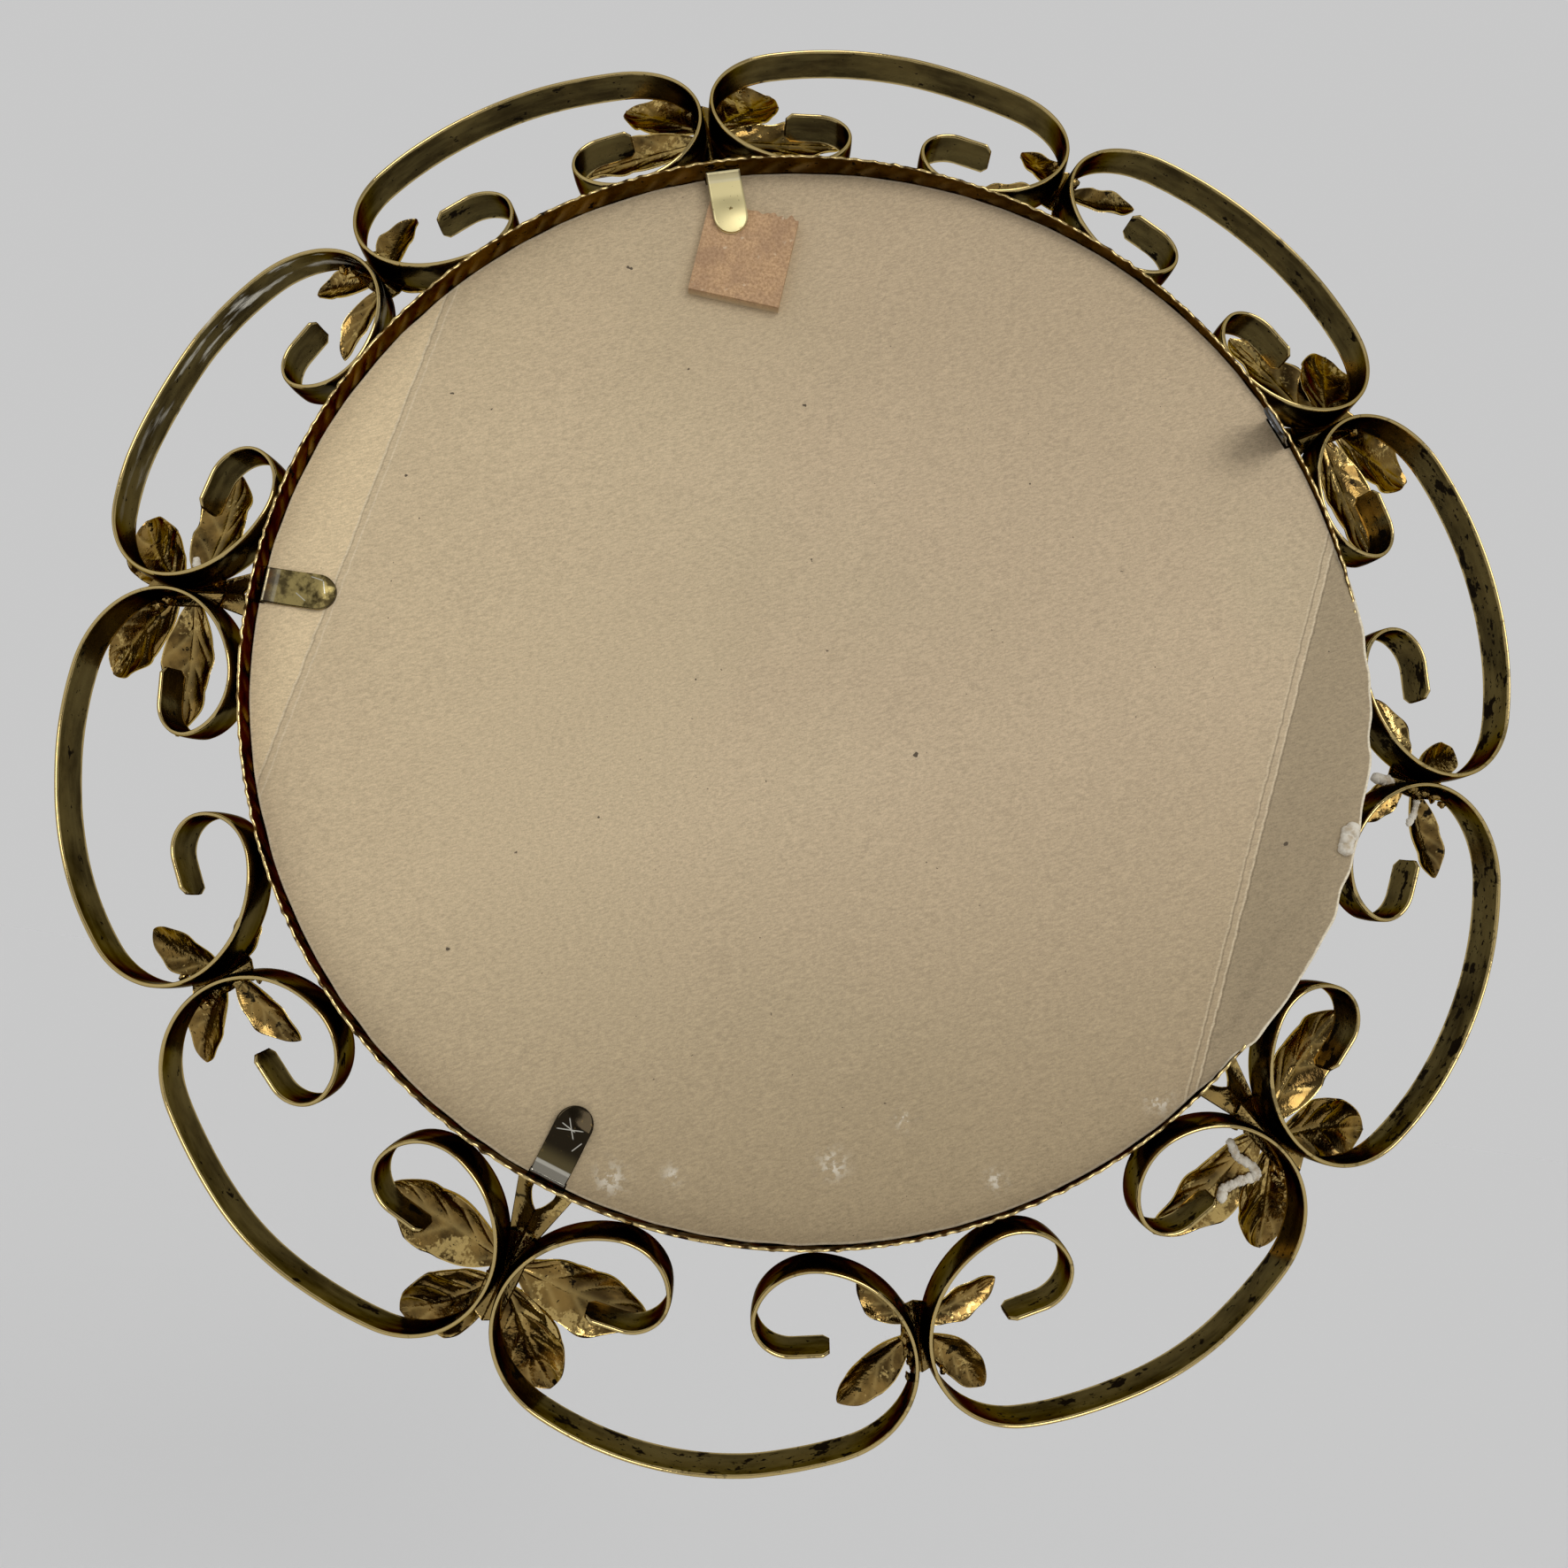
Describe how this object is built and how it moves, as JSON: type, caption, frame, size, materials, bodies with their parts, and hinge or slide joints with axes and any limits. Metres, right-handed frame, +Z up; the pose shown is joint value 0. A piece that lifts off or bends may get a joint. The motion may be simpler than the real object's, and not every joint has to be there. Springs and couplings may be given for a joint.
{
  "type": "witch mirror",
  "caption": "Round convex wall mirror in a brass ring with a wreath of bent strip scrolls, stamped leaf sprigs and a card back held by fold-over clips",
  "frame": {"origin": "the inside of the top scroll's crown, half way across the strip, where a nail carries the mirror", "axes": "+Z up as it hangs, +Y towards the wall (the back), so the glass faces -Y; +X to the right seen from the front"},
  "size_m": [0.3858, 0.0556, 0.3968],
  "materials": {
    "bronzed_strip": "dark bronzed gilt brass, worn bright on the edges, tarnish spots",
    "bronzed_leaf": "stamped brass, brown-gold patina",
    "ring_brass": "thin embossed brass sheet, worn bright on the back edge",
    "silvered_glass": "polished convex glass, silvered behind",
    "inner_card": "plain brown board",
    "back_card": "matte tan board, creased and stained",
    "hardboard": "matte pressed fibre board",
    "clip_metal": "bent sheet brass, partly tarnished"
  },
  "bodies": {
    "mirror": {"backing_card": "back_card", "bezel_ring": "ring_brass", "clip_leg_bottom": "clip_metal", "clip_leg_left": "clip_metal", "clip_leg_right": "clip_metal", "clip_leg_top": "clip_metal", "large_sprig_01": "bronzed_leaf", "large_sprig_02": "bronzed_leaf", "large_sprig_03": "bronzed_leaf", "large_sprig_04": "bronzed_leaf", "large_sprig_05": "bronzed_leaf", "mirror_glass": "silvered_glass", "packing_ring": "inner_card", "packing_square": "hardboard", "scroll_01": "bronzed_strip", "scroll_02": "bronzed_strip", "scroll_03": "bronzed_strip", "scroll_04": "bronzed_strip", "scroll_05": "bronzed_strip", "scroll_06": "bronzed_strip", "scroll_07": "bronzed_strip", "scroll_08": "bronzed_strip", "scroll_09": "bronzed_strip", "scroll_10": "bronzed_strip", "small_sprig_01": "bronzed_leaf", "small_sprig_02": "bronzed_leaf", "small_sprig_03": "bronzed_leaf", "small_sprig_04": "bronzed_leaf", "small_sprig_05": "bronzed_leaf"},
    "finger_top": {"clip_finger_top": "clip_metal"},
    "finger_right": {"clip_finger_right": "clip_metal"},
    "finger_bottom": {"clip_finger_bottom": "clip_metal"},
    "finger_left": {"clip_finger_left": "clip_metal"}
  },
  "joints": [
    {"name": "fold_top", "type": "hinge", "parent": "mirror", "child": "finger_top", "pos_m": [0.04253, 0.03275, -0.06472], "axis": [0.9511, 0, -0.309], "range_deg": [0, 90]},
    {"name": "fold_right", "type": "hinge", "parent": "mirror", "child": "finger_right", "pos_m": [-0.11134, 0.03478, -0.11471], "axis": [0.5878, 0, 0.809], "range_deg": [-58, 32]},
    {"name": "fold_bottom", "type": "hinge", "parent": "mirror", "child": "finger_bottom", "pos_m": [0.04253, 0.02976, -0.3265], "axis": [-0.9511, 0, -0.309], "range_deg": [0, 90]},
    {"name": "fold_left", "type": "hinge", "parent": "mirror", "child": "finger_left", "pos_m": [0.13763, 0.02976, -0.19561], "axis": [0, 0, -1], "range_deg": [0, 90]}
  ]
}
